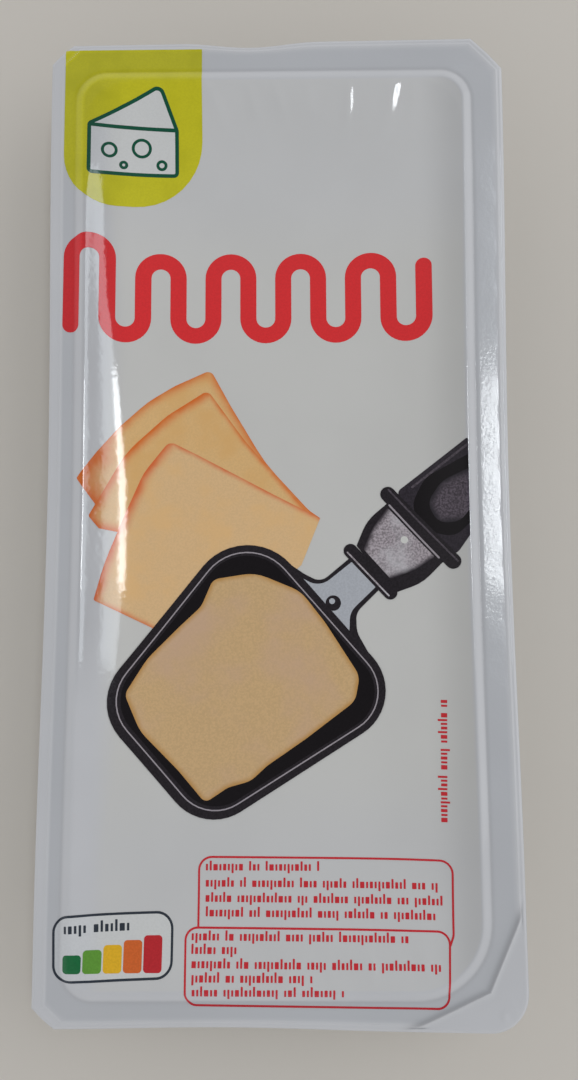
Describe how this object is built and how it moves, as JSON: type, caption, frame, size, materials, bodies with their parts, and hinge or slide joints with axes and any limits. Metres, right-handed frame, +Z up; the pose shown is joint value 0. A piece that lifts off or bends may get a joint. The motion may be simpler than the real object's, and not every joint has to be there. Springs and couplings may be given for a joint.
{
  "type": "sealed pack of raclette cheese slices",
  "caption": "Shut shallow tray with a wide flange and a welded glossy printed lidding film, holding sliced raclette cheese, lying flat.",
  "frame": {"origin": "at the level the pack lies on, under the middle of its box", "axes": "+Z up out of the film, +Y along the pack towards the top of its print, +X to the right of the print"},
  "size_m": [0.122, 0.2584, 0.0251],
  "materials": {
    "tray_plastic": "opaque white thermoformed sheet with a soft sheen",
    "film_gloss": "opaque white lidding film, glossy, with fields of coloured print"
  },
  "bodies": {
    "root": {"tray": "tray_plastic", "lid_film": "film_gloss"}
  },
  "joints": []
}
